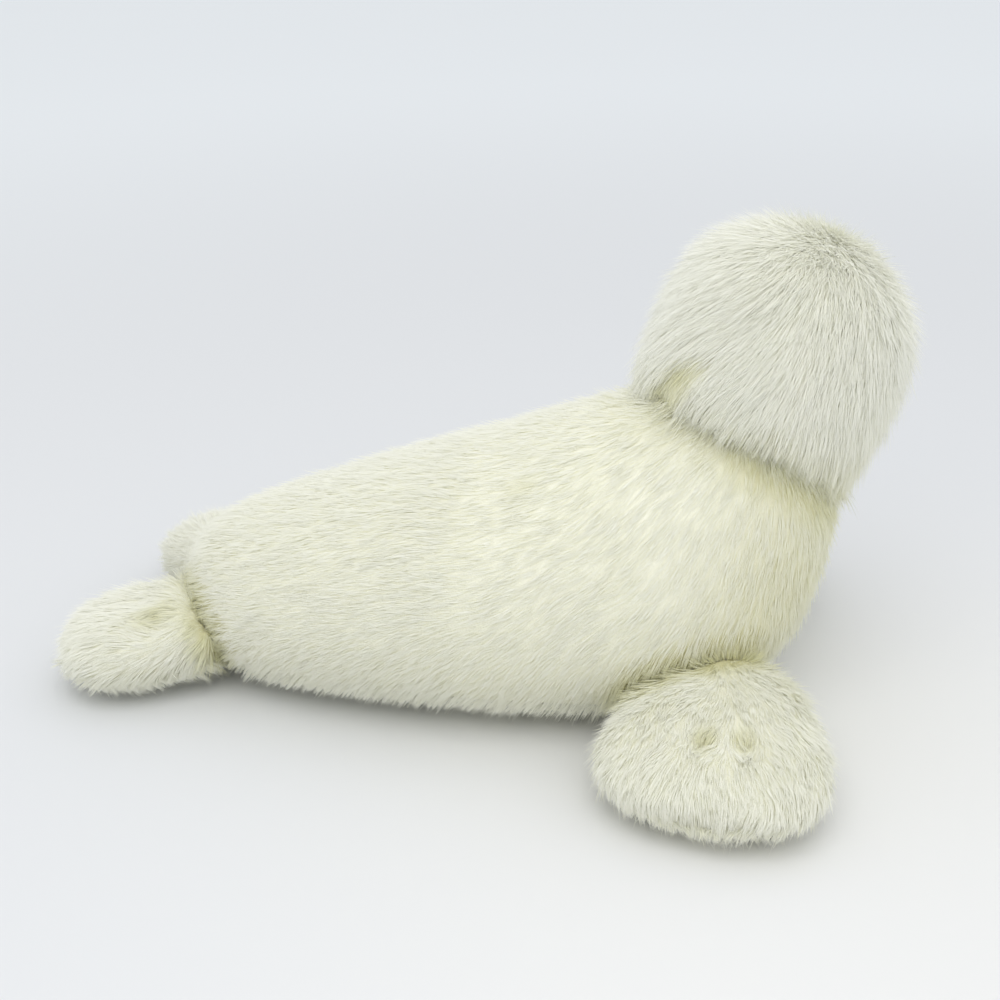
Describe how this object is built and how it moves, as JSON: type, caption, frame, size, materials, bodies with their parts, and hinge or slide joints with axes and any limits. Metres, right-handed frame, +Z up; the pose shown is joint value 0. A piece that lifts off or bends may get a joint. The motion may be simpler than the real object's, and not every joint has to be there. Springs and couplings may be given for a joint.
{
  "type": "plush toy seal",
  "caption": "Stuffed plush seal pup in long cream pile that lies on its belly, with its head raised and turned to its left.",
  "frame": {"origin": "on the flat patch of belly that the seal rests on, under its middle", "axes": "+X from the tail to the chest, +Y to the seal's left, +Z up"},
  "size_m": [0.453, 0.3232, 0.2586],
  "materials": {
    "cream_pile": "brushed long pile",
    "black_plastic": "polished",
    "white_nylon": "as moulded",
    "black_thread": "twisted cotton"
  },
  "bodies": {
    "root": {"body": "cream_pile", "head": "cream_pile", "front_flipper_left": "cream_pile", "front_flipper_right": "cream_pile", "hind_flipper_left": "cream_pile", "hind_flipper_right": "cream_pile", "eye_left": "black_plastic", "eye_right": "black_plastic", "nose": "black_plastic", "eye_left_washer": "white_nylon", "eye_right_washer": "white_nylon", "nose_washer": "white_nylon", "mouth_thread": "black_thread"}
  },
  "joints": []
}
